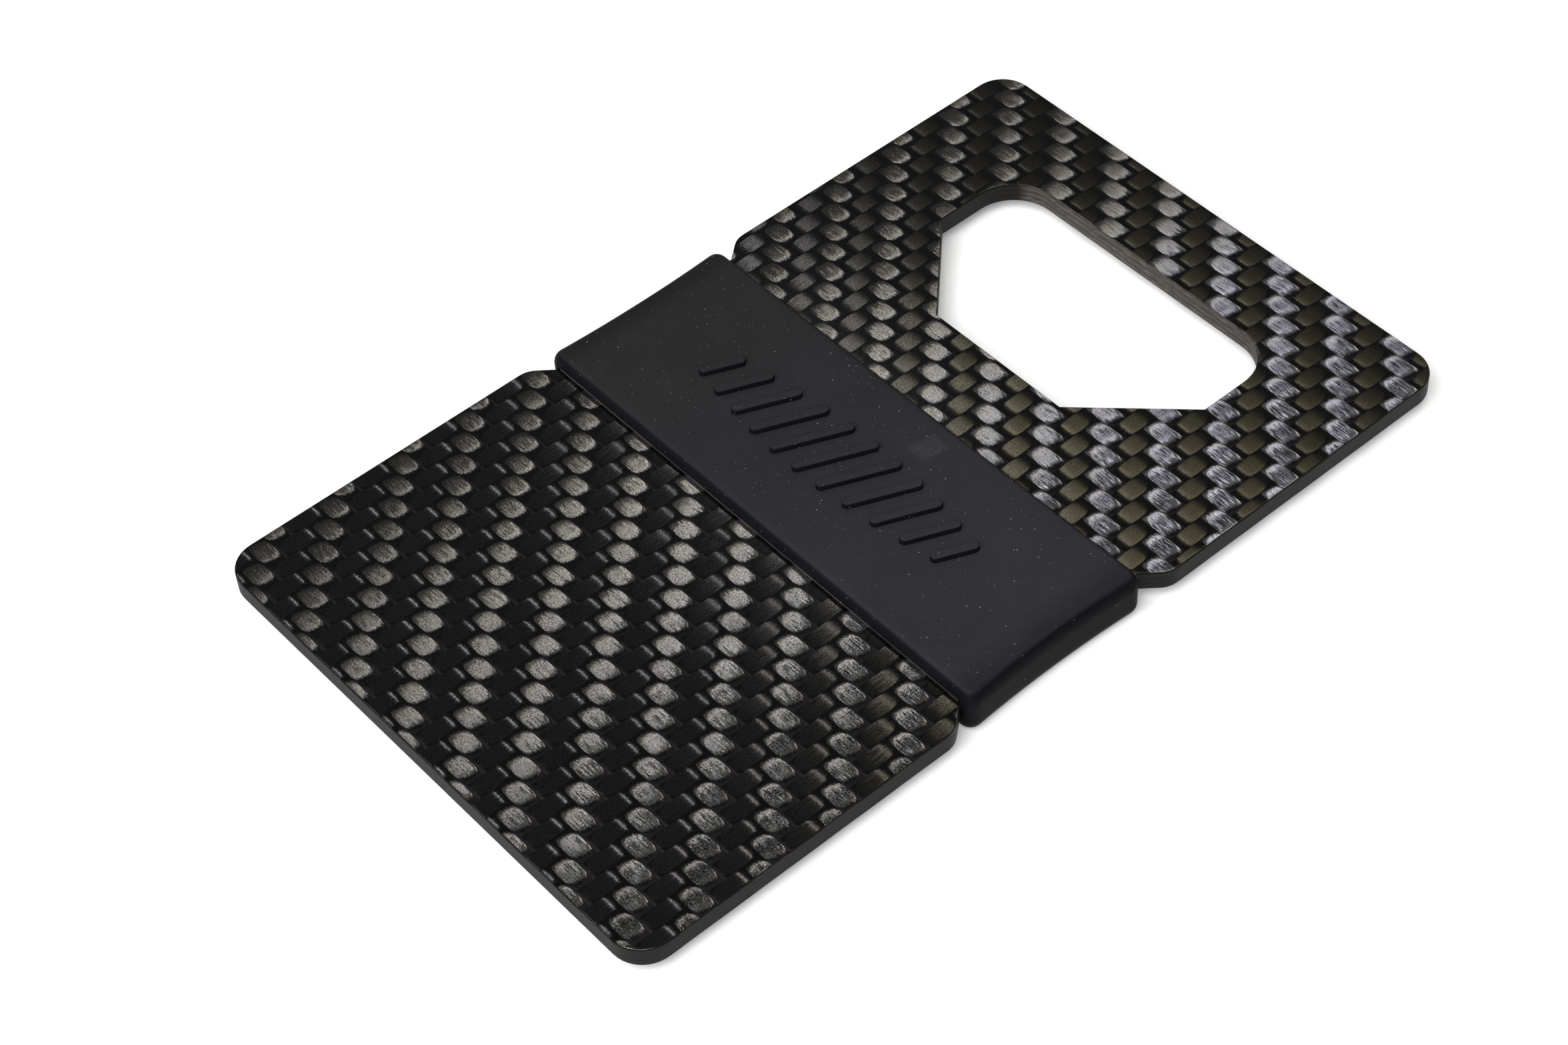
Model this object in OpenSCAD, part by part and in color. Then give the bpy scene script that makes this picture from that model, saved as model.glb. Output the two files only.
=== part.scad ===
// Card-sized money clip: a carbon-fibre plate with a crown-cap opener and a moulded
// elastic band around its waist that grips notes and cards against both faces.
// Origin: centre of the footprint, on the underside of the band, which the clip rests on.
// +X runs along the plate towards the opener, +Z is the front of the clip.

/* [Plate] */
// Length of the plate, a little over a bank card's
plate_l = 88.6; // [84:0.2:96]
// Width of the plate, a bank card's width
plate_w = 54; // [50:0.5:60]
// Radius of the plate's four corners
plate_corner_r = 3; // [1:0.5:6]

/* [Laminate] */
// Thickness of the woven ply on each face
face_ply_t = 0.25; // [0.2:0.05:0.5]
// Thickness of each straight-fibre ply of the core
core_ply_t = 0.3; // [0.2:0.05:0.5]

/* [Waist] */
// Depth of the notch in each long edge
notch_depth = 1.7; // [1:0.1:3]
// How far the waist's centre lies from the plate's, along +X
waist_x = -0.35; // [-0.6:0.05:0.6]
// Free length of the notch on each side of a centred band
notch_gap = 0.35; // [0.2:0.05:1]
// Slope of the notch's shoulders, in degrees
shoulder_slope = 40; // [30:1:60]
// Radius where a shoulder meets the long edge
shoulder_r = 2.2; // [0.5:0.1:3]

/* [Opener] */
// Distance from the plate's centre to the straight lip that catches the cap
lip_x = 17.9; // [15:0.1:20]
// Length of the straight lip
lip_l = 15.2; // [10:0.2:20]
// Clear width of the opener, for a 32.1 mm crown cap
opener_w = 32.4; // [30:0.2:36]
// Clear length of the opener, from the lip to its far edge
opener_l = 17.6; // [16:0.2:19]
// Radius of the opener's two far corners
opener_corner_r = 4.3; // [2:0.1:6]

/* [Band] */
// Width of the band, along the plate
band_w = 19; // [14:0.2:24]
// Thickness of the band's wall
band_t = 1.3; // [0.8:0.1:1.5]
// Play between the band and the -X end of the notches, which it sits against
band_side_play = 0.1; // [0.05:0.05:0.2]
// Lean of the two runs' side walls, in degrees
band_draft = 8; // [2:1:15]
// Rounding along the band's outer edges
band_edge_r = 0.7; // [0.2:0.1:0.7]
// Rounding where the band turns round the plate's long edges
band_bend_r = 1.4; // [0.8:0.1:1.5]
// Rounding of the band's four corners in plan
band_corner_r = 1.3; // [0.5:0.1:2]
// How far the middle of each side loop pulls in
band_pull_in = 0.45; // [0.1:0.05:0.6]
// Free play between each side loop and the notch's floor
band_play = 0.1; // [0.02:0.01:0.15]

/* [Grip] */
// Number of raised ribs across the front run
rib_count = 11; // [3:2:13]
// Distance between neighbouring ribs
rib_pitch = 2.9; // [2:0.1:3]
// Width of each rib
rib_w = 0.9; // [0.5:0.1:1.2]
// Length of the middle rib
rib_l_mid = 7.6; // [5:0.2:9]
// Length of the first and last ribs
rib_l_end = 3; // [2:0.2:4.6]
// Height of the ribs above the band
rib_h = 0.55; // [0.2:0.05:0.6]
// Slant of the ribs, in degrees
rib_slant = -24; // [-40:1:40]

/* [Hidden] */
$fn = 64;
eps = 0.01;
core_plies = 5;

plate_t = 2 * face_ply_t + core_plies * core_ply_t;
plate_z = band_t;
half_w = plate_w / 2;
band_h = plate_t + 2 * band_t;
band_mid_z = band_h / 2;

// Waist: the floor of each notch, and the centre of each shoulder's rounding
floor_y = half_w - notch_depth;
floor_x = band_w / 2 + notch_gap;
shoulder_x = floor_x + notch_depth / tan(shoulder_slope);
shoulder_cx = shoulder_x + shoulder_r * tan(shoulder_slope / 2);

// Band: its centre, and how far its side loops reach from the plate's centre line
band_x = waist_x + band_side_play - notch_gap;
loop_in_y = floor_y + band_play;
loop_out_y = loop_in_y + band_t;
pull_in_r = (pow(band_w / 2, 2) + pow(band_pull_in, 2)) / (2 * band_pull_in);

// Band: centre of the rounding between a run's face and its leaning side wall
edge_cx = band_w / 2 - band_t * tan(band_draft) - band_edge_r * tan(45 - band_draft / 2);
edge_cz = band_h / 2 - band_edge_r;

// Opener: far edge and the run of its 45 degree flanks
opener_far_x = lip_x + opener_l;
flank = (opener_w - lip_l) / 2;
corner_cx = opener_far_x - opener_corner_r;
corner_cy = opener_w / 2 - opener_corner_r;

carbon = [0.13, 0.13, 0.14];
core_along = [0.19, 0.18, 0.17];
core_across = [0.15, 0.14, 0.14];
silicone = [0.17, 0.17, 0.19];

function rib_length(i) =
    rib_l_end + (rib_l_mid - rib_l_end) * cos(90 * abs(i) / ((rib_count + 1) / 2));

// A rectangle about the origin with true round corners
module rounded_rect(size, r) {
    square([size.x - 2 * r, size.y], center = true);
    square([size.x, size.y - 2 * r], center = true);
    for (sx = [-1, 1], sy = [-1, 1])
        translate([sx * (size.x / 2 - r), sy * (size.y / 2 - r)]) circle(r);
}

// A bar along X with round ends
module bar(length, width) {
    square([length - width, width], center = true);
    for (s = [-1, 1]) translate([s * (length - width) / 2, 0]) circle(width / 2);
}

// One notch on the +Y edge, with rounded shoulders that slope down to a flat floor
module notch() {
    tangent = shoulder_r * [sin(shoulder_slope), 1 - cos(shoulder_slope)];
    difference() {
        polygon([
            [-shoulder_cx, half_w + 1], [-shoulder_cx, half_w - shoulder_r],
            [-shoulder_cx + tangent.x, half_w - tangent.y], [-floor_x, floor_y],
            [floor_x, floor_y], [shoulder_cx - tangent.x, half_w - tangent.y],
            [shoulder_cx, half_w - shoulder_r], [shoulder_cx, half_w + 1]
        ]);
        for (s = [-1, 1]) translate([s * shoulder_cx, half_w - shoulder_r]) circle(shoulder_r);
    }
}

// The opener's outline: a straight lip, 45 degree flanks and two round far corners
module opener() {
    polygon([
        [lip_x, -lip_l / 2], [lip_x + flank, -opener_w / 2],
        [corner_cx, -opener_w / 2], [opener_far_x, -corner_cy],
        [opener_far_x, corner_cy], [corner_cx, opener_w / 2],
        [lip_x + flank, opener_w / 2], [lip_x, lip_l / 2]
    ]);
    for (s = [-1, 1]) translate([corner_cx, s * corner_cy]) circle(opener_corner_r);
}

module plate_outline() {
    difference() {
        rounded_rect([plate_l, plate_w], plate_corner_r);
        translate([waist_x, 0]) notch();
        translate([waist_x, 0]) mirror([0, 1]) notch();
        opener();
    }
}

// One ply of the laminate, its underside z above the plate's back face
module ply(z, thickness) {
    translate([0, 0, plate_z + z]) linear_extrude(thickness) plate_outline();
}

module front_face_ply() {
    color(carbon) ply(plate_t - face_ply_t, face_ply_t);
}

module core_ply(i) {
    color(i % 2 == 1 ? core_along : core_across)
        ply(plate_t - face_ply_t - i * core_ply_t, core_ply_t);
}

module back_face_ply() {
    color(carbon) ply(0, face_ply_t);
}

// The band seen along the plate: a ring around the plate's cross-section
module band_ring() {
    difference() {
        rounded_rect([2 * loop_out_y, band_h], band_bend_r);
        square([2 * loop_in_y, plate_t], center = true);
    }
}

// The band seen along itself: upright beside the plate, leaning in over its two faces
module band_side() {
    wall_end = [edge_cx, edge_cz] + band_edge_r * [cos(band_draft), sin(band_draft)];
    half = [
        [band_w / 2, plate_t / 2], wall_end, [edge_cx, band_h / 2],
        [-edge_cx, band_h / 2], [-wall_end.x, wall_end.y], [-band_w / 2, plate_t / 2]
    ];
    polygon(concat(half, -half));
    for (sx = [-1, 1], sz = [-1, 1])
        translate([sx * edge_cx, sz * edge_cz]) circle(band_edge_r);
}

// The band seen from the front: round corners, and ends that pull in at the middle
module band_plan() {
    difference() {
        rounded_rect([band_w, 2 * loop_out_y], band_corner_r);
        for (s = [-1, 1])
            translate([0, s * (loop_out_y - band_pull_in + pull_in_r)])
                circle(pull_in_r, $fn = 256);
    }
}

// The whole band is the common part of its three outlines
module band() {
    translate([band_x, 0, band_mid_z]) intersection() {
        rotate([90, 0, 90]) linear_extrude(band_w, center = true) band_ring();
        rotate([90, 0, 0]) linear_extrude(2 * loop_out_y, center = true) band_side();
        linear_extrude(band_h, center = true) band_plan();
    }
}

// The half of the band above (side = 1) or below (side = -1) the plate's middle
module band_half(side) {
    intersection() {
        band();
        translate([-band_w, -plate_w, side > 0 ? band_mid_z : band_mid_z - band_h])
            cube([2 * band_w, 2 * plate_w, band_h]);
    }
}

// Slanted round-ended ribs, longest in the middle of the row
module grip_ribs() {
    last = (rib_count - 1) / 2;
    for (i = [-last:last])
        translate([band_x, i * rib_pitch, band_h - eps]) rotate(rib_slant)
            linear_extrude(rib_h + eps) bar(rib_length(i), rib_w);
}

module band_front() {
    color(silicone) {
        band_half(1);
        grip_ribs();
    }
}

module band_back() {
    color(silicone) band_half(-1);
}

front_face_ply();
for (i = [1:core_plies])
    core_ply(i);
back_face_ply();
band_front();
band_back();
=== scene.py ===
"""The looks of the money clip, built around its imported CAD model.

Everything is in metres in the row's own frame: +X along the plate towards the opener, +Y across
it along the band, +Z out of the front face. Lengths below are in millimetres times MM.
"""

from math import cos, pi, radians, sin

import bmesh
import bpy
from mathutils import Matrix, Vector


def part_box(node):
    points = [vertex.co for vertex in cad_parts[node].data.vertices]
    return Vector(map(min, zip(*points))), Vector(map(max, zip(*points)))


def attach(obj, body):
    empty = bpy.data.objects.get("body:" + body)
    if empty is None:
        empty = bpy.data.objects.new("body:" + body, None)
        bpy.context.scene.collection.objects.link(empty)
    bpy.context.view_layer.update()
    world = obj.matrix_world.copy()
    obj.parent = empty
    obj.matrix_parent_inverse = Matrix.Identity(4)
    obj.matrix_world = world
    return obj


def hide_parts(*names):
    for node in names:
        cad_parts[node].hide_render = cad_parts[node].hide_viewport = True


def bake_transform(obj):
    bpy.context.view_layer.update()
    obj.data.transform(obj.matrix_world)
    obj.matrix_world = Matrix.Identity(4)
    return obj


MM = 0.001

# The cloth: 2x2 twill. Tows along Y are counted along X, and tows along X along Y.
TOW_PITCH_X = 1.80 * MM
TOW_PITCH_Y = 1.70 * MM
TOW_START_X = 0.32  # the tow counts at the plate's centre, in tows
TOW_START_Y = 1.05
BOW = 60.0  # how much the tows along Y spread out towards the opener, in tows per square metre
DRIFT = 0.92  # how far the tows along X wander sideways along the plate, in tows
DRIFT_START_X = -24 * MM
DRIFT_END_X = 38 * MM
TWILL_SHIFT = 3  # which tow of the four-tow repeat comes up first
FLOAT_LIMIT = 1.3  # how far past its visible end a float's shape is still worked out

# The plate's edges
OPENER_FAR_X = 35.5 * MM  # the opener's far wall
OPENER_HALF_W = 17 * MM  # a little more than half the opener's width
ARRIS = 0.12 * MM  # width of the broken outer edge of each face
FACE_NORMAL_Z = 0.9  # a steeper face than this is a cut edge, without cloth

# The band
BEND_R = 1.4 * MM  # outside, where it turns round the plate's long edges
RUN_EDGE_R = 0.7 * MM  # along the edges of the front and back runs
LOOP_EDGE_R = 1.2 * MM  # along the edges of the side loops; stays under the wall's thickness
INNER_EDGE_R = 0.12 * MM
INNER_CHAMFER = 0.08 * MM
PULL_IN = 0.45 * MM  # how far the middle of each side loop pulls in
DRAFT = 0.18 * MM  # how far a run's side walls lean in from the plate to its face
SCUFF_X = 5.8 * MM  # the middle of the scuffed patch on the front run
SCUFF_Y = -3.2 * MM

# Grip ribs on the front run
RIB_COUNT = 11
RIB_PITCH = 2.9 * MM
RIB_W = 0.9 * MM
RIB_L_MID = 7.6 * MM
RIB_L_END = 3.0 * MM
RIB_SLANT = radians(-24)
RIB_ROUND = 0.12 * MM  # rounding of their top edges
RIB_SINK = 0.2 * MM  # how deep they reach into the band, to join it

CORE_PLIES = 5

# Steps in the band's and the ribs' meshes
LOOP_STEPS = 5  # up half a side loop
BEND_STEPS = 10  # round one bend
RUN_STEPS = 12  # along half a run
WIDTH_STEPS = 24  # across a run
EDGE_STEPS = 7  # round one outer edge
RIB_END_STEPS = 10
RIB_TOP_STEPS = 4
SMOOTH_ANGLE = radians(40)  # faces that meet at less than this are shaded as one

# Colours, as linear red, green and blue
FIBRE_Y_LIT = (0.38, 0.365, 0.33)  # the tows along Y, a lit copy of the fibre colour: painted highlight
FIBRE_Y_LIT_COOL_SHEEN = (0.45, 0.44, 0.475)  # the lit tows along Y with a painted cool sheen, near the opener's -Y corner
FIBRE_X_SHADED_OLIVE_SHEEN = (0.084, 0.077, 0.054)  # the tows along X, a shaded copy of the fibre colour with a painted olive reflection, near the opener's -Y corner
FIBRE_X_SHADED = (0.074, 0.072, 0.073)  # the tows along X, the shaded copy without the painted reflection, towards the opposite corner
CLOTH_GAP_SHADE = (0.010, 0.009, 0.011)  # where no float comes to the surface: dark resin, with painted shade where the tows dive under
EDGE_CLOTH = (0.0066, 0.0058, 0.0050)  # cut edges of the plies
EDGE_ALONG = (0.0084, 0.0074, 0.0064)
EDGE_ACROSS = (0.0053, 0.0047, 0.0042)
# Painted shade: the band's side walls, a shaded copy of its colour
BAND_SIDE_SHADE = (0.0068, 0.0061, 0.0084)
BAND_FACE_LIT_SHEEN = (0.0240, 0.0232, 0.0290)  # the band's two broad faces, a lit copy with a painted bluish sheen, at their -Y end
BAND_FACE_LIT = (0.0188, 0.0188, 0.0200)  # and at their +Y end, lit without the sheen
# Painted highlight along the band's lower edge, where it meets the plate
CONTACT_HIGHLIGHT = (0.22, 0.21, 0.20)
DUST = (0.25, 0.25, 0.25)
FLOOR = (0.9, 0.9, 0.9)
WHITE = (1.0, 1.0, 1.0)

# The world's strength as a light and in reflections
WORLD_LIGHT = 0.3
WORLD_REFLECTED = 0.1

# The camera: where it looks, from where, and its lens and sensor in millimetres
CAMERA_AIM = Vector((-7.1, -0.8, 2.3)) * MM
CAMERA_AZIMUTH = radians(-38.15)
CAMERA_ELEVATION = radians(48.11)
CAMERA_ROLL = radians(-3.93)
CAMERA_DISTANCE = 280.1 * MM
CAMERA_LENS = 77.9
CAMERA_SENSOR = 36.0

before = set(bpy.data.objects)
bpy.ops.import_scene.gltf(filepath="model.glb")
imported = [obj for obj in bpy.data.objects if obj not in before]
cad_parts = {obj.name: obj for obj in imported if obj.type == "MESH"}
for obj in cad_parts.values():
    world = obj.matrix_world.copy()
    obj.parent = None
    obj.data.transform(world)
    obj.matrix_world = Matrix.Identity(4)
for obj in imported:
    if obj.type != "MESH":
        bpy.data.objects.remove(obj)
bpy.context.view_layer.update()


# ---------------------------------------------------------------- shader nodes


class Num:
    """A number that a material works out: arithmetic on it adds Math nodes."""

    def __init__(self, shader, socket):
        self.shader = shader
        self.socket = socket

    def apply(self, operation, *others):
        node = self.shader.add("ShaderNodeMath", operation=operation)
        for slot, value in zip(node.inputs, (self, *others)):
            self.shader.feed(slot, value)
        return Num(self.shader, node.outputs[0])

    def __add__(self, other):
        return self.apply("ADD", other)

    def __sub__(self, other):
        return self.apply("SUBTRACT", other)

    def __mul__(self, other):
        return self.apply("MULTIPLY", other)

    def __truediv__(self, other):
        return self.apply("DIVIDE", other)

    def __pow__(self, other):
        return self.apply("POWER", other)

    __radd__ = __add__

    def __rsub__(self, other):
        return self * -1 + other

    def __neg__(self):
        return self * -1

    def __lt__(self, other):
        return self.apply("LESS_THAN", other)

    def __gt__(self, other):
        return self.apply("GREATER_THAN", other)

    def abs(self):
        return self.apply("ABSOLUTE")

    def floor(self):
        return self.apply("FLOOR")

    def wrap(self, low, high):
        return self.apply("WRAP", high, low)

    def clamp(self, low, high):
        return self.apply("MINIMUM", high).apply("MAXIMUM", low)

    def peak(self, full, none):
        """1 where the number's size is under full, down to 0 where it is over none."""
        return self.abs().ramp(full, none, 1.0, 0.0)

    def ramp(self, start, end, low=0.0, high=1.0):
        """Runs smoothly from low at start to high at end, and stays there."""
        node = self.shader.add("ShaderNodeMapRange", interpolation_type="SMOOTHSTEP")
        for slot, value in zip(node.inputs, (self, start, end, low, high)):
            self.shader.feed(slot, value)
        return Num(self.shader, node.outputs[0])


class Shader:
    """A material under construction, with short names for its nodes."""

    def __init__(self, name):
        self.material = bpy.data.materials.new(name)
        self.material.use_nodes = True
        self.tree = self.material.node_tree
        self.bsdf = self.tree.nodes["Principled BSDF"]

    def add(self, kind, **settings):
        node = self.tree.nodes.new(kind)
        for key, value in settings.items():
            setattr(node, key, value)
        return node

    def feed(self, slot, value):
        """Links a number, vector or colour to a socket, or sets the socket to a constant."""
        if isinstance(value, Num):
            value = value.socket
        if isinstance(value, bpy.types.NodeSocket):
            self.tree.links.new(value, slot)
        elif slot.type == "RGBA":
            slot.default_value = (*value, 1.0)
        else:
            slot.default_value = value

    def set(self, **values):
        """Sets the surface's own sockets, named with _ for a space."""
        for key, value in values.items():
            self.feed(self.bsdf.inputs[key.replace("_", " ")], value)

    def place(self):
        """Where the point is in the row's frame, as three numbers in metres."""
        split = self.add("ShaderNodeSeparateXYZ")
        self.feed(split.inputs[0], self.add("ShaderNodeTexCoord").outputs["Object"])
        return [Num(self, out) for out in split.outputs]

    def normal(self, kind="True Normal"):
        """The face's own normal, or the smooth "Normal", as three numbers."""
        split = self.add("ShaderNodeSeparateXYZ")
        self.feed(split.inputs[0], self.add("ShaderNodeNewGeometry").outputs[kind])
        return [Num(self, out) for out in split.outputs]

    def vector(self, x, y, z):
        join = self.add("ShaderNodeCombineXYZ")
        for slot, value in zip(join.inputs, (x, y, z)):
            self.feed(slot, value)
        return join.outputs[0]

    def unit(self, vector):
        node = self.add("ShaderNodeVectorMath", operation="NORMALIZE")
        self.feed(node.inputs[0], vector)
        return node.outputs[0]

    def noise(self, vector, detail=2.0, rough=0.5):
        """Smooth noise around 0, from about -0.5 to 0.5, one wave per unit of vector."""
        node = self.add("ShaderNodeTexNoise")
        self.feed(node.inputs["Vector"], vector)
        node.inputs["Scale"].default_value = 1.0
        node.inputs["Detail"].default_value = detail
        node.inputs["Roughness"].default_value = rough
        return Num(self, node.outputs["Fac"]) - 0.5

    def waves(self, place, lengths, detail=2.0, rough=0.5):
        """Smooth noise whose waves have these lengths, in millimetres, along x, y and z."""
        steps = [axis / (length * MM) for axis, length in zip(place, lengths)]
        return self.noise(self.vector(*steps), detail, rough)

    def chance(self, vector):
        """A steady random number from 0 to 1 for each whole-number vector."""
        node = self.add("ShaderNodeTexWhiteNoise")
        self.feed(node.inputs["Vector"], vector)
        return Num(self, node.outputs["Value"])

    def mix(self, amount, low, high):
        """Blends two numbers."""
        node = self.add("ShaderNodeMix", data_type="FLOAT")
        for slot, value in zip(node.inputs[0:1] + node.inputs[2:4], (amount, low, high)):
            self.feed(slot, value)
        return Num(self, node.outputs[0])

    def blend(self, amount, low, high):
        """Blends two colours."""
        node = self.add("ShaderNodeMix", data_type="RGBA")
        for slot, value in zip(node.inputs[0:1] + node.inputs[6:8], (amount, low, high)):
            self.feed(slot, value)
        return node.outputs[2]

    def scale(self, color, amount):
        """A colour made brighter or darker."""
        node = self.add("ShaderNodeVectorMath", operation="SCALE")
        self.feed(node.inputs[0], color)
        self.feed(node.inputs["Scale"], amount)
        return node.outputs[0]

    def bump(self, height, distance):
        node = self.add("ShaderNodeBump")
        self.feed(node.inputs["Height"], height)
        self.feed(node.inputs["Distance"], distance)
        return node.outputs[0]


# ---------------------------------------------------------------- materials


def laminate_edge(sh, x, y, z, tone):
    """Colour of the machined edge: fine fibre lines that run along the ply."""
    place = (x, y, z)
    lines = sh.waves(place, (3, 3, 0.05), 3, 0.6)
    torn = sh.waves(place, (0.8, 0.8, 0.04), 3, 0.7)
    nicks = sh.waves(place, (0.12, 0.12, 0.06))
    streaks = 1 + lines * 1.5 + torn.ramp(0.05, 0.25) * 1.2 + nicks * 0.8
    # Painted highlight: the opener's far wall, which faces the light, is painted greyer, with
    # paler glints on its torn fibres
    far_wall = (x - OPENER_FAR_X).peak(0.3 * MM, 1.2 * MM) * (y.abs() < OPENER_HALF_W)
    rough = far_wall * (7.2 + torn * 36) + 1
    return sh.scale(tone, rough * streaks)


class Cloth:
    """Where a point lies in the twill, and how the twill differs over the plate."""

    def __init__(self, sh, x, y):
        self.sh = sh
        self.x = x
        self.y = y
        # Which tow along Y the point is on, and which along X
        column = x / TOW_PITCH_X + TOW_START_X - x * x * BOW
        row = y / TOW_PITCH_Y + TOW_START_Y - x.ramp(DRIFT_START_X, DRIFT_END_X) * DRIFT
        i = column.floor()
        j = row.floor()
        # Place along each tow's float, which is on top from -1 to 1
        s_y = (row - i - TWILL_SHIFT).wrap(-2, 2)
        s_x = (column - j).wrap(-2, 2)
        # 1 where the tow along Y is on top, and 0 where the one along X is
        self.on_y = s_y.abs() < 1
        # Place along and across the tow on top, both from -1 to 1
        self.s = self.pick(s_x, s_y)
        self.u = self.pick((row - j) * 2 - 1, (column - i) * 2 - 1)
        along = self.pick(x, y)
        across = self.pick(y, x)
        # A random number for each float; on some of them, rounding breaks it up into fine grain
        tow = sh.vector(self.pick(j, i), self.pick(column - s_x, row - s_y), self.on_y)
        self.luck = sh.chance(tow) - 0.5
        # Fibres within the tow, the frayed ends of its float, and the resin's fine grain; the
        # third numbers keep the two directions of tow from having the same fibres
        fibres = sh.vector(along / (1.6 * MM), across / (0.10 * MM), self.on_y * 9)
        ends = sh.vector(along / (0.6 * MM), across / (0.07 * MM), self.on_y * 5)
        self.strand = sh.noise(fibres, 2, 0.7)
        self.fray = sh.noise(ends, 2, 0.6)
        self.grain = sh.noise(sh.vector(x / (0.15 * MM), y / (0.15 * MM), 0.0), 1, 0.7)
        # Towards the opener's -Y corner the floats get squarer and their strands show more
        self.combed = (x - y * 0.8).ramp(0.0, 40 * MM)
        # Towards the -X end the floats along X show more of their ends
        self.long_tips = (1 - self.on_y) * x.ramp(-12 * MM, 3 * MM, 1.0, 0.0)
        # The share of a float that comes to the surface
        self.reach = self.pick(0.84, self.combed * 0.08 + 0.70)

    def pick(self, on_x, on_y):
        """One number on the tows along X, and another on the tows along Y."""
        return self.sh.mix(self.on_y, on_x, on_y)

    def outline(self):
        """A float shows as a rounded lozenge: this runs from -1 to 1 between its two ends."""
        squareness = self.pick(2.8, self.combed * 7 + 4)
        round_off = (1 - self.u.abs() ** squareness) ** self.pick(0.3, 0.22 - self.combed * 0.1)
        skew = self.on_y * (self.u * 0.10 - 0.06)
        return ((self.s + skew) / (self.reach * round_off)).clamp(-FLOAT_LIMIT, FLOAT_LIMIT)

    def lean(self):
        """How far the fibres tilt along the tow, and across it.

        They lie level in the middle of a float and dive towards both ends.
        """
        # Nearer the opener, the floats along Y tip a little more towards +Y
        level = self.pick(-0.02, (self.x + 10 * MM) * 0.98)
        narrowing = (1.001 - self.on_y * self.u.abs() ** 2.5) ** 0.4
        end = (self.s / self.reach / narrowing).clamp(-FLOAT_LIMIT, FLOAT_LIMIT)
        steep = end * end * end
        dive = level + self.pick(end * 0.03 + steep * end.abs() * 0.22, steep * 0.10)
        dive = dive + self.strand * self.pick(0.12, 0.38) + self.luck * 0.03
        return dive, self.u**3 * 0.12

    def color(self, t):
        """Colour of the fibres with painted light and shade, where t runs from -1 to 1 between a
        float's ends.
        """
        sh = self.sh
        x = self.x
        y = self.y
        # Painted light and shade: the tows along Y take a lit copy of the fibre colour and those
        # along X a shaded copy. Towards the opener's -Y corner, those along X get a painted
        # olive reflection and those along Y a painted cool sheen
        away = (y - x).ramp(-22 * MM, 15 * MM)
        cool = self.combed * (-y).ramp(-8 * MM, 10 * MM)
        shaded_tows_x = sh.blend(away, FIBRE_X_SHADED_OLIVE_SHEEN, FIBRE_X_SHADED)
        lit_tows_y = sh.blend(cool, FIBRE_Y_LIT, FIBRE_Y_LIT_COOL_SHEEN)
        # Painted shade and highlight: towards -Y the floats along Y get a darker heart, and near
        # the opener a paler rim
        ringed = self.on_y * (x * 0.2 - y).ramp(9 * MM, 18 * MM)
        rim = t.abs().ramp(0.2, 0.75)
        heart_shade_rim_highlight = ringed * sh.mix(x.ramp(0.0, 20 * MM), rim * 0.45 - 0.52, rim * 0.72 - 0.36)
        strands = self.strand * (self.on_y * self.combed * 1.5 + 1.5)
        tone = 1 + strands + self.grain * (3.5 - self.combed * 2) + self.luck * 0.2 + heart_shade_rim_highlight
        # Painted shade: the cloth is painted darker towards the opener's +Y corner, and the
        # floats along Y towards the whole +Y edge, most at their +Y ends
        corner = x.ramp(5 * MM, 25 * MM) * y.ramp(-8 * MM, 18 * MM)
        far_edge = y.ramp(8 * MM, 22 * MM) * self.on_y
        depth = self.pick(0.7, self.s.ramp(-0.5, 0.2) * 0.4 + 0.2)
        painted_shade = corner.apply("MAXIMUM", far_edge) * depth
        # Painted highlight: the long tips are painted paler at their +X ends
        tip_highlight = self.long_tips * (self.s.ramp(0.5, 0.8) * 1.8 - 0.3)
        return sh.scale(sh.blend(self.on_y, shaded_tows_x, lit_tows_y), tone * (1 - painted_shade) * (1 + tip_highlight))


def carbon_twill():
    """Woven carbon tows in clear gloss resin, with the machined laminate on the sides."""
    sh = Shader("carbon_twill")
    x, y, z = sh.place()
    cloth = Cloth(sh, x, y)
    t = cloth.outline()
    fade = cloth.pick(0.6, 0.82) + cloth.long_tips * 0.2
    # Painted shade at the ends of the floats, where the tows dive under, over the dark resin
    # between them
    gap_shade = (t.abs() + cloth.fray * 0.7).ramp(fade, 1.1)
    _, _, face_z = sh.normal()
    flat = face_z.abs() > FACE_NORMAL_Z
    dive, side = cloth.lean()
    lean = sh.add("ShaderNodeVectorMath", operation="MULTIPLY_ADD")
    sh.feed(lean.inputs[0], sh.vector(cloth.pick(dive, side), cloth.pick(side, dive), 0.0))
    sh.feed(lean.inputs[1], sh.vector(flat, flat, flat))
    sh.feed(lean.inputs[2], sh.add("ShaderNodeNewGeometry").outputs["Normal"])
    woven = sh.blend(gap_shade, cloth.color(t), CLOTH_GAP_SHADE)
    sh.set(
        Base_Color=sh.blend(flat, laminate_edge(sh, x, y, z, EDGE_CLOTH), woven),
        Metallic=flat,
        Roughness=sh.mix(flat, 0.5, 0.295),
        Anisotropic=0.97,
        Tangent=sh.vector(cloth.on_y, 1 - cloth.on_y, 0.0),
        Normal=sh.unit(lean.outputs[0]),
        Specular_IOR_Level=0.1,
        Coat_Weight=flat,
        Coat_Roughness=0.05,
        Coat_IOR=1.5,
    )
    return sh.material


def laminate_core(name, tone):
    """A straight-fibre ply, which shows only on the machined edges."""
    sh = Shader(name)
    x, y, z = sh.place()
    fine = sh.waves((x, y, z), (0.3, 0.3, 0.03))
    sh.set(
        Base_Color=laminate_edge(sh, x, y, z, tone),
        Roughness=0.5,
        Specular_IOR_Level=0.1,
        Normal=sh.bump(fine, 0.01 * MM),
    )
    return sh.material


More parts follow.
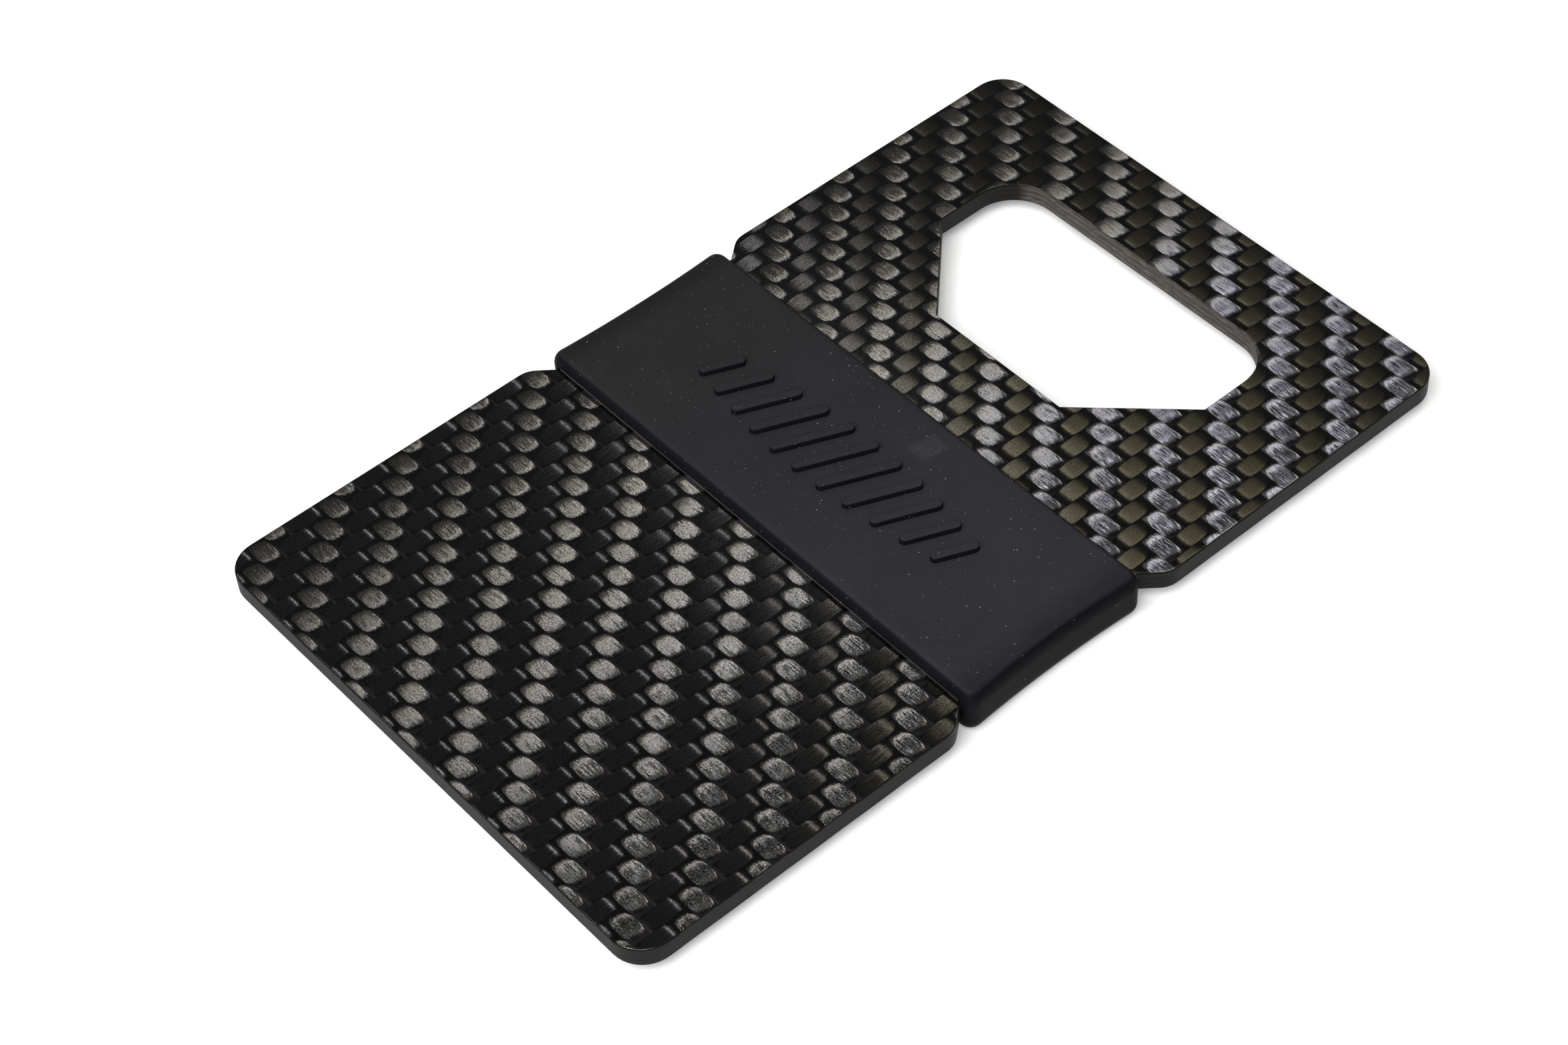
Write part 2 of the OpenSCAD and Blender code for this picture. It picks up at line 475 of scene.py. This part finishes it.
def specks(sh, place, size, share):
    """1 on small round specks, in a share of the cells of that size, and 0 elsewhere."""
    cells = sh.add("ShaderNodeTexVoronoi")
    sh.feed(cells.inputs["Vector"], sh.vector(*place))
    cells.inputs["Scale"].default_value = 1 / size
    picked = sh.chance(cells.outputs["Position"]) > 1 - share
    return Num(sh, cells.outputs["Distance"]).ramp(0.05, 0.10, 1.0, 0.0) * picked


def silicone(plate_high):
    """Matte moulded silicone: its sides painted dark as shade, and its two broad faces painted
    lighter as lit.

    A painted highlight runs along its sides where it meets the plate's face, at plate_high.
    """
    sh = Shader("silicone")
    x, y, z = sh.place()
    nx, _, nz = sh.normal("Normal")
    place = (x, y, z)
    cloud = sh.waves(place, (6, 6, 6), 4)
    grain = sh.waves(place, (0.14, 0.14, 0.14), 2, 0.7)
    dust = specks(sh, place, 0.8 * MM, 0.35)
    fine_dust = specks(sh, place, 0.5 * MM, 0.5)
    # A dull scuffed patch beside the ribs
    patch = (x - SCUFF_X).peak(1.0 * MM, 1.6 * MM)
    patch = patch * (y - SCUFF_Y + x * 0.2).peak(0.8 * MM, 1.3 * MM) * (z > 3 * MM)
    scratch = sh.noise(sh.vector((x + y) / (0.12 * MM), (x - y) / (0.9 * MM), 0.0), 3, 0.6)
    scuff = patch * (scratch * 3 + 0.5)
    # Painted light: the broad faces are painted lighter than the shaded sides, with a painted
    # highlight where they start to round over
    ridge_highlight = nx.abs().ramp(0.08, 0.3) * nz.abs().ramp(0.8, 0.93)
    face_light = nz.abs().ramp(0.65, 0.93) + ridge_highlight * 0.5
    # Painted highlight along the sides' lower edge, where the band meets the plate
    contact_highlight = (z - plate_high).peak(0.08 * MM, 0.17 * MM) * nx.abs().ramp(0.4, 0.7)
    contact_highlight = contact_highlight * (y.abs() < 25 * MM)
    # Painted shade: the band is painted darker where it folds round the plate's long edges
    fold_shade = y.abs().ramp(22.5 * MM, 26.2 * MM) * 0.35
    # Painted sheen: the lit faces turn bluer and lighter towards the -Y end
    body = sh.blend(y.ramp(-22 * MM, 24 * MM), BAND_FACE_LIT_SHEEN, BAND_FACE_LIT)
    body = sh.blend(face_light, BAND_SIDE_SHADE, body)
    body = sh.scale(body, 1 + cloud * 0.3 + grain * 0.8 + scuff * 0.7)
    body = sh.blend(contact_highlight * (cloud * 2 + 0.7), sh.scale(body, 1 - fold_shade), CONTACT_HIGHLIGHT)
    sh.set(
        Base_Color=sh.blend(dust * 0.6 + fine_dust * 0.5, body, DUST),
        Roughness=cloud * 0.1 + 0.55,
        Specular_IOR_Level=0.05,
        Normal=sh.bump(grain, 0.006 * MM),
    )
    return sh.material


def pale_floor():
    """The floor, with a faint glow that keeps it white."""
    sh = Shader("pale_floor")
    x, y, _ = sh.place()
    mottle = sh.noise(sh.vector(x / (40 * MM), y / (40 * MM), 0.0), 3)
    sh.set(Base_Color=sh.scale(FLOOR, 1 + mottle * 0.01), Roughness=0.7)
    sh.set(Emission_Color=WHITE, Emission_Strength=0.15)
    return sh.material


# ---------------------------------------------------------------- meshes


def new_object(name, bm, material):
    """Turns a bmesh into an object, shaded smooth except at its sharp edges."""
    bmesh.ops.recalc_face_normals(bm, faces=bm.faces)
    mesh = bpy.data.meshes.new(name)
    bm.to_mesh(mesh)
    bm.free()
    mesh.shade_smooth()
    mesh.set_sharp_from_angle(angle=SMOOTH_ANGLE)
    mesh.materials.append(material)
    obj = bpy.data.objects.new(name, mesh)
    bpy.context.scene.collection.objects.link(obj)
    return obj


def skin(bm, rings):
    """Closed surface over a row of rings of vertices, with both ends capped."""
    for one, two in zip(rings, rings[1:]):
        for k in range(len(one)):
            n = (k + 1) % len(one)
            bm.faces.new((one[k], one[n], two[n], two[k]))
    bm.faces.new(rings[0])
    bm.faces.new(rings[-1])


def face_ply(node, outward, material):
    """A woven face ply: the CAD ply with its outer arris broken all round."""
    bm = bmesh.new()
    bm.from_mesh(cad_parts[node].data)
    # The CAD mesh's triangles go back to whole flat faces, so that only true edges are bevelled
    bmesh.ops.remove_doubles(bm, verts=bm.verts, dist=0.001 * MM)
    bmesh.ops.dissolve_limit(bm, angle_limit=radians(1), verts=bm.verts, edges=bm.edges)
    low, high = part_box(node)
    face_z = high.z if outward > 0 else low.z
    arris = [
        e
        for e in bm.edges
        if all(abs(v.co.z - face_z) < 0.01 * MM for v in e.verts)
        and e.calc_face_angle(0) > radians(60)
    ]
    bmesh.ops.bevel(bm, geom=arris, offset=ARRIS, segments=3, profile=0.5, affect="EDGES")
    ply = new_object(node + "_cloth", bm, material)
    weighted = ply.modifiers.new("even_shading", "WEIGHTED_NORMAL")
    weighted.keep_sharp = True
    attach(ply, "plate")
    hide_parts(node)


def arc(steps, start=0.0, end=pi / 2):
    """Angles from start to end, both included."""
    return [start + (end - start) * k / steps for k in range(steps + 1)]


def band_path(mid_z, plate_z, wall, out_y):
    """Stations from the plate's middle height, up one side loop, over the run and down again.

    Each is (inner point, outer point, share): the points are (y, z), and share is how much of
    a side loop the station is, from 0 on the run to 1 on the loop.
    """
    in_y = out_y - wall
    top_z = plate_z + wall
    center = Vector((out_y - BEND_R, top_z - BEND_R))
    inner = Vector((in_y - INNER_EDGE_R, plate_z - INNER_EDGE_R))
    half = []
    for k in range(LOOP_STEPS):
        z = mid_z + (center.y - mid_z) * k / LOOP_STEPS
        half.append((Vector((in_y, z)), Vector((out_y, z)), 1.0))
    for a in arc(BEND_STEPS):
        turn = Vector((cos(a), sin(a)))
        half.append((inner + turn * INNER_EDGE_R, center + turn * BEND_R, cos(a)))
    for k in range(1, RUN_STEPS + 1):
        y = inner.x * (1 - k / RUN_STEPS)
        half.append((Vector((y, plate_z)), Vector((y, top_z)), 0.0))
    flip = [
        (Vector((-i.x, i.y)), Vector((-o.x, o.y)), share) for i, o, share in reversed(half[:-1])
    ]
    return half + flip


def band_section(half_x, wall, edge_r):
    """The wall's outline at one station, as (x, depth): depth is 0 inside and 1 outside."""
    inside_x = half_x - INNER_CHAMFER
    points = [(-inside_x, 0.0), (0.0, 0.0), (inside_x, 0.0), (half_x, INNER_CHAMFER)]
    for a in arc(EDGE_STEPS):
        points.append((half_x - edge_r * (1 - cos(a)), wall - edge_r * (1 - sin(a))))
    flat_x = half_x - edge_r
    for k in range(1, WIDTH_STEPS):
        points.append((flat_x * (1 - 2 * k / WIDTH_STEPS), wall))
    for a in arc(EDGE_STEPS):
        points.append((-half_x + edge_r * (1 - sin(a)), wall - edge_r * (1 - cos(a))))
    points.append((-half_x, INNER_CHAMFER))
    return [(x, depth / wall) for x, depth in points]


def plate_faces():
    """Heights of the plate's back and front faces.

    The clip rests on its band, so the first is also the thickness of the band's wall.
    """
    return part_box("back_face_ply")[0].z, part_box("front_face_ply")[1].z


def band_half(name, side, material):
    """Half of the moulded band: one run and the near half of both side loops."""
    low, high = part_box("band_" + name)
    plate_low, plate_high = plate_faces()
    wall = plate_low
    mid_z = (plate_low + plate_high) / 2
    out_y = high.y
    mid_x = (low.x + high.x) / 2
    half_x = (high.x - low.x) / 2
    bm = bmesh.new()
    rings = []
    for inner, outer, share in band_path(mid_z, plate_high, wall, out_y):
        edge_r = RUN_EDGE_R + (LOOP_EDGE_R - RUN_EDGE_R) * share
        ring = []
        for x, depth in band_section(half_x, wall, edge_r):
            y, z = inner + (outer - inner) * depth
            pull = PULL_IN * (1 - (x / half_x) ** 2) * share * depth
            y -= pull if y > 0 else -pull
            x *= 1 - DRAFT / half_x * (1 - share) * depth
            ring.append(bm.verts.new((mid_x + x, y, mid_z + side * (z - mid_z))))
        rings.append(ring)
    skin(bm, rings)
    return new_object("band_" + name + "_silicone", bm, material)


def grip_ribs(mid_x, top_z, height):
    """Slanted ribs with round ends and softened tops, as one mesh of closed solids."""
    bm = bmesh.new()
    last = (RIB_COUNT - 1) // 2
    for i in range(-last, last + 1):
        length = RIB_L_END + (RIB_L_MID - RIB_L_END) * cos(pi / 2 * abs(i) / (last + 1))
        straight = (length - RIB_W) / 2
        # Each level is (height above the band, how far the outline is inset there)
        levels = [(-RIB_SINK, 0.0), (height - RIB_ROUND, 0.0)]
        for a in arc(RIB_TOP_STEPS)[1:]:
            levels.append((height - RIB_ROUND * (1 - sin(a)), RIB_ROUND * (1 - cos(a))))
        rings = []
        for z, inset in levels:
            r = RIB_W / 2 - inset
            ring = []
            for end_x, facing in ((straight, 0.0), (-straight, pi)):
                for a in arc(RIB_END_STEPS, facing - pi / 2, facing + pi / 2):
                    outline = Vector((end_x + r * cos(a), r * sin(a)))
                    turned = Matrix.Rotation(RIB_SLANT, 2) @ outline
                    y = turned.y + i * RIB_PITCH
                    ring.append(bm.verts.new((mid_x + turned.x, y, top_z + z)))
            rings.append(ring)
        skin(bm, rings)
    return bm


def join_solids(obj, other):
    """Unites obj with another closed mesh object, for good."""
    tool = obj.modifiers.new("unite", "BOOLEAN")
    tool.operation = "UNION"
    tool.solver = "EXACT"
    tool.object = other
    graph = bpy.context.evaluated_depsgraph_get()
    mesh = bpy.data.meshes.new_from_object(obj.evaluated_get(graph), depsgraph=graph)
    obj.modifiers.clear()
    obj.data = mesh
    bpy.data.objects.remove(other)


# ---------------------------------------------------------------- the clip


def make_plate():
    """The two woven face plies, and the materials of the core plies, which keep their meshes."""
    twill = carbon_twill()
    face_ply("front_face_ply", 1, twill)
    face_ply("back_face_ply", -1, twill)
    along = laminate_core("core_along", EDGE_ALONG)
    across = laminate_core("core_across", EDGE_ACROSS)
    for number in range(1, CORE_PLIES + 1):
        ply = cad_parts[f"core_ply_{number}"]
        ply.data.materials.clear()
        ply.data.materials.append(along if number % 2 else across)


def make_band():
    """Both halves of the band, with the grip ribs joined to the front half.
    """
    plate_low, plate_high = plate_faces()
    rubber = silicone(plate_high)
    front = band_half("front", 1, rubber)
    run_top = plate_high + plate_low
    low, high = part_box("band_front")
    ribs_bm = grip_ribs((low.x + high.x) / 2, run_top, high.z - run_top)
    ribs = new_object("ribs", ribs_bm, rubber)
    join_solids(front, ribs)
    front.data.shade_smooth()
    front.data.set_sharp_from_angle(angle=SMOOTH_ANGLE)
    back = band_half("back", -1, rubber)
    for piece, body, node, face_z in (
        (front, "front_run", "band_front", plate_high),
        (back, "back_run", "band_back", plate_low),
    ):
        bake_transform(piece)
        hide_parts(node)


# ---------------------------------------------------------------- the set


def make_floor():
    """A plain flat floor, which isn't part of the clip."""
    bm = bmesh.new()
    bmesh.ops.create_grid(bm, x_segments=4, y_segments=4, size=2.0)
    floor = new_object("floor", bm, pale_floor())


def aim(obj, place, target, roll=0.0):
    """Puts obj at place with its -Z axis towards target and its X axis level, then rolls it."""
    back = (place - target).normalized()
    level = Vector((0, 0, 1)).cross(back).normalized()
    up = back.cross(level)
    right = level * cos(roll) + up * sin(roll)
    above = up * cos(roll) - level * sin(roll)
    turn = Matrix((right, above, back)).transposed().to_4x4()
    obj.matrix_world = Matrix.Translation(place) @ turn


def direction(azimuth, elevation):
    """From the object towards a camera at that azimuth and elevation."""
    flat = cos(elevation)
    return Vector((sin(azimuth) * flat, -cos(azimuth) * flat, sin(elevation)))


def make_camera():
    data = bpy.data.cameras.new("camera")
    data.sensor_width = CAMERA_SENSOR
    data.lens = CAMERA_LENS
    data.clip_start = 0.01
    camera = bpy.data.objects.new("camera", data)
    bpy.context.scene.collection.objects.link(camera)
    away = direction(CAMERA_AZIMUTH, CAMERA_ELEVATION)
    aim(camera, CAMERA_AIM + away * CAMERA_DISTANCE, CAMERA_AIM, CAMERA_ROLL)
    bpy.context.scene.camera = camera


def soft_box(name, place, size, power, tint):
    """A rectangular light that faces straight down unless it is aimed. Power is in watts."""
    data = bpy.data.lights.new(name, "AREA")
    data.shape = "RECTANGLE"
    data.size, data.size_y = size
    data.energy = power
    data.color = tint
    light = bpy.data.objects.new(name, data)
    light.location = place
    bpy.context.scene.collection.objects.link(light)
    return light


def make_lights():
    """A grey world, dimmer in reflections than it is as a light, and four soft boxes."""
    world = bpy.data.worlds.new("studio")
    world.use_nodes = True
    nodes, links = world.node_tree.nodes, world.node_tree.links
    path = nodes.new("ShaderNodeLightPath")
    level = nodes.new("ShaderNodeMapRange")
    level.inputs["To Min"].default_value = WORLD_LIGHT
    level.inputs["To Max"].default_value = WORLD_REFLECTED
    links.new(path.outputs["Is Glossy Ray"], level.inputs["Value"])
    links.new(level.outputs[0], nodes["Background"].inputs["Strength"])
    nodes["Background"].inputs["Color"].default_value = (*WHITE, 1.0)
    bpy.context.scene.world = world
    # High up, to the left of the camera: it lights the floor and the matte band
    key = soft_box("key", place=(0, 0, 0), size=(0.7, 0.7), power=11.0, tint=WHITE)
    aim(key, Vector((-0.50, -0.20, 0.74)), Vector((0, 0, 0)))
    # Opposite the camera, where the tows along Y send it back; the band hides its mirror image
    small = (0.02, 0.03)
    warm = (1.0, 0.93, 0.80)
    cool = (0.78, 0.83, 1.0)
    soft_box("back_warm", place=(0.212, 0.279, 0.363), size=small, power=0.07, tint=warm)
    soft_box("back_cool", place=(0.212, 0.247, 0.363), size=small, power=0.07, tint=cool)
    # To the right, where the tows along X send it back
    amber = (1.0, 0.91, 0.72)
    soft_box("side", place=(0.247, 0.03, 0.446), size=(0.09, 0.12), power=0.14, tint=amber)
    bpy.context.scene.view_settings.view_transform = "Standard"


make_camera()
make_plate()
make_band()
make_floor()
make_lights()
